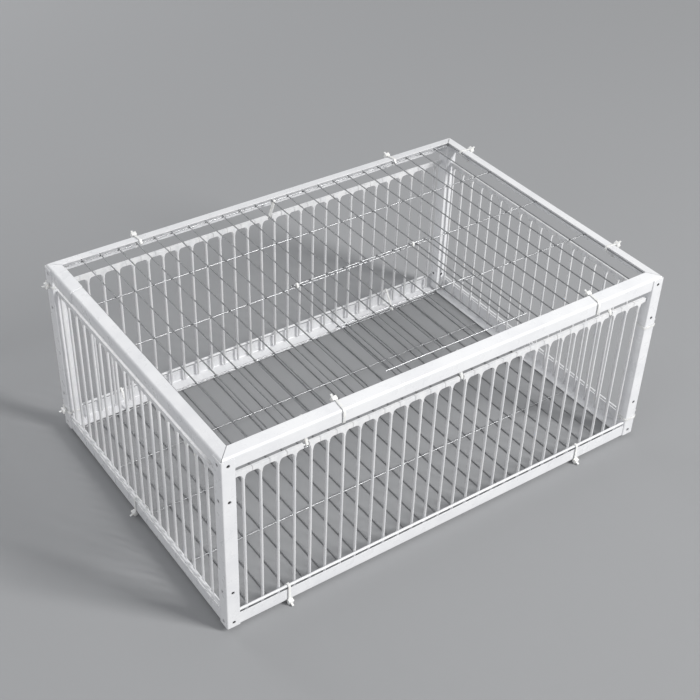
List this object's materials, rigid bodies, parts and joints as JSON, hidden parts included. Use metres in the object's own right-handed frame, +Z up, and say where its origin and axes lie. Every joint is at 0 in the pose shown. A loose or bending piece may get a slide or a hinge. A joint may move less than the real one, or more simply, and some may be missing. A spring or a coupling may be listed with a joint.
{
  "type": "pigeon trap cage",
  "caption": "Low rectangular walk-in bird trap with white square posts and angle rails, wire mesh top and floor, a hinged mesh hatch, and one-way T-shaped swing bars on all sides.",
  "frame": {"origin": "on the ground under the middle of the cage", "axes": "+X along the long sides, +Y from the front side to the back side, +Z up"},
  "size_m": [0.413, 0.2824, 0.1675],
  "materials": {
    "white_paint": "gloss",
    "white_rod": "satin",
    "white_plastic": "satin",
    "galvanised_wire": "satin",
    "nylon_tie": "satin"
  },
  "bodies": {
    "frame": {"front_left_post": "white_paint", "front_right_post": "white_paint", "back_right_post": "white_paint", "back_left_post": "white_paint", "front_top_rail": "white_paint", "front_bottom_rail": "white_paint", "right_top_rail": "white_paint", "right_bottom_rail": "white_paint", "back_top_rail": "white_paint", "back_bottom_rail": "white_paint", "left_top_rail": "white_paint", "left_bottom_rail": "white_paint", "left_rail_splice": "white_paint", "front_pivot_rod": "white_rod", "right_pivot_rod": "white_rod", "back_pivot_rod": "white_rod", "left_pivot_rod": "white_rod", "front_stop_rod": "white_rod", "right_stop_rod": "white_rod", "back_stop_rod": "white_rod", "left_stop_rod": "white_rod", "floor_mesh": "galvanised_wire", "top_mesh": "galvanised_wire", "curtain_ties": "nylon_tie", "top_rail_ties": "nylon_tie", "bottom_rail_ties": "nylon_tie", "post_ties": "nylon_tie", "hatch_hinge_loops": "nylon_tie"},
    "hatch": {"hatch_door": "galvanised_wire"},
    "front_bars_1": {"front_bars_1": "white_plastic"},
    "front_bars_2": {"front_bars_2": "white_plastic"},
    "front_bars_3": {"front_bars_3": "white_plastic"},
    "front_bars_4": {"front_bars_4": "white_plastic"},
    "front_bars_5": {"front_bars_5": "white_plastic"},
    "front_bars_6": {"front_bars_6": "white_plastic"},
    "front_bars_7": {"front_bars_7": "white_plastic"},
    "right_bars_1": {"right_bars_1": "white_plastic"},
    "right_bars_2": {"right_bars_2": "white_plastic"},
    "right_bars_3": {"right_bars_3": "white_plastic"},
    "right_bars_4": {"right_bars_4": "white_plastic"},
    "right_bars_5": {"right_bars_5": "white_plastic"},
    "back_bars_1": {"back_bars_1": "white_plastic"},
    "back_bars_2": {"back_bars_2": "white_plastic"},
    "back_bars_3": {"back_bars_3": "white_plastic"},
    "back_bars_4": {"back_bars_4": "white_plastic"},
    "back_bars_5": {"back_bars_5": "white_plastic"},
    "back_bars_6": {"back_bars_6": "white_plastic"},
    "back_bars_7": {"back_bars_7": "white_plastic"},
    "left_bars_1": {"left_bars_1": "white_plastic"},
    "left_bars_2": {"left_bars_2": "white_plastic"},
    "left_bars_3": {"left_bars_3": "white_plastic"},
    "left_bars_4": {"left_bars_4": "white_plastic"},
    "left_bars_5": {"left_bars_5": "white_plastic"}
  },
  "joints": [
    {"name": "hatch_hinge", "type": "hinge", "parent": "frame", "child": "hatch", "pos_m": [0.009, 0.0058, 0.1652], "axis": [-1, 0, 0], "range_deg": [0, 170]},
    {"name": "front_bars_1_swing", "type": "hinge", "parent": "frame", "child": "front_bars_1", "pos_m": [0, -0.13135, 0.1437], "axis": [1, 0, 0], "range_deg": [0, 65]},
    {"name": "front_bars_2_swing", "type": "hinge", "parent": "frame", "child": "front_bars_2", "pos_m": [0, -0.13135, 0.1437], "axis": [1, 0, 0], "range_deg": [0, 65]},
    {"name": "front_bars_3_swing", "type": "hinge", "parent": "frame", "child": "front_bars_3", "pos_m": [0, -0.13135, 0.1437], "axis": [1, 0, 0], "range_deg": [0, 65]},
    {"name": "front_bars_4_swing", "type": "hinge", "parent": "frame", "child": "front_bars_4", "pos_m": [0, -0.13135, 0.1437], "axis": [1, 0, 0], "range_deg": [0, 65]},
    {"name": "front_bars_5_swing", "type": "hinge", "parent": "frame", "child": "front_bars_5", "pos_m": [0, -0.13135, 0.1437], "axis": [1, 0, 0], "range_deg": [0, 65]},
    {"name": "front_bars_6_swing", "type": "hinge", "parent": "frame", "child": "front_bars_6", "pos_m": [0, -0.13135, 0.1437], "axis": [1, 0, 0], "range_deg": [0, 65]},
    {"name": "front_bars_7_swing", "type": "hinge", "parent": "frame", "child": "front_bars_7", "pos_m": [0, -0.13135, 0.1437], "axis": [1, 0, 0], "range_deg": [0, 65]},
    {"name": "right_bars_1_swing", "type": "hinge", "parent": "frame", "child": "right_bars_1", "pos_m": [0.1955, 0, 0.1424], "axis": [0, 1, 0], "range_deg": [0, 65]},
    {"name": "right_bars_2_swing", "type": "hinge", "parent": "frame", "child": "right_bars_2", "pos_m": [0.1955, 0, 0.1424], "axis": [0, 1, 0], "range_deg": [0, 65]},
    {"name": "right_bars_3_swing", "type": "hinge", "parent": "frame", "child": "right_bars_3", "pos_m": [0.1955, 0, 0.1424], "axis": [0, 1, 0], "range_deg": [0, 65]},
    {"name": "right_bars_4_swing", "type": "hinge", "parent": "frame", "child": "right_bars_4", "pos_m": [0.1955, 0, 0.1424], "axis": [0, 1, 0], "range_deg": [0, 65]},
    {"name": "right_bars_5_swing", "type": "hinge", "parent": "frame", "child": "right_bars_5", "pos_m": [0.1955, 0, 0.1424], "axis": [0, 1, 0], "range_deg": [0, 65]},
    {"name": "back_bars_1_swing", "type": "hinge", "parent": "frame", "child": "back_bars_1", "pos_m": [0, 0.13135, 0.1437], "axis": [-1, 0, 0], "range_deg": [0, 65]},
    {"name": "back_bars_2_swing", "type": "hinge", "parent": "frame", "child": "back_bars_2", "pos_m": [0, 0.13135, 0.1437], "axis": [-1, 0, 0], "range_deg": [0, 65]},
    {"name": "back_bars_3_swing", "type": "hinge", "parent": "frame", "child": "back_bars_3", "pos_m": [0, 0.13135, 0.1437], "axis": [-1, 0, 0], "range_deg": [0, 65]},
    {"name": "back_bars_4_swing", "type": "hinge", "parent": "frame", "child": "back_bars_4", "pos_m": [0, 0.13135, 0.1437], "axis": [-1, 0, 0], "range_deg": [0, 65]},
    {"name": "back_bars_5_swing", "type": "hinge", "parent": "frame", "child": "back_bars_5", "pos_m": [0, 0.13135, 0.1437], "axis": [-1, 0, 0], "range_deg": [0, 65]},
    {"name": "back_bars_6_swing", "type": "hinge", "parent": "frame", "child": "back_bars_6", "pos_m": [0, 0.13135, 0.1437], "axis": [-1, 0, 0], "range_deg": [0, 65]},
    {"name": "back_bars_7_swing", "type": "hinge", "parent": "frame", "child": "back_bars_7", "pos_m": [0, 0.13135, 0.1437], "axis": [-1, 0, 0], "range_deg": [0, 65]},
    {"name": "left_bars_1_swing", "type": "hinge", "parent": "frame", "child": "left_bars_1", "pos_m": [-0.1955, 0, 0.1424], "axis": [0, -1, 0], "range_deg": [0, 65]},
    {"name": "left_bars_2_swing", "type": "hinge", "parent": "frame", "child": "left_bars_2", "pos_m": [-0.1955, 0, 0.1424], "axis": [0, -1, 0], "range_deg": [0, 65]},
    {"name": "left_bars_3_swing", "type": "hinge", "parent": "frame", "child": "left_bars_3", "pos_m": [-0.1955, 0, 0.1424], "axis": [0, -1, 0], "range_deg": [0, 65]},
    {"name": "left_bars_4_swing", "type": "hinge", "parent": "frame", "child": "left_bars_4", "pos_m": [-0.1955, 0, 0.1424], "axis": [0, -1, 0], "range_deg": [0, 65]},
    {"name": "left_bars_5_swing", "type": "hinge", "parent": "frame", "child": "left_bars_5", "pos_m": [-0.1955, 0, 0.1424], "axis": [0, -1, 0], "range_deg": [0, 65]}
  ]
}
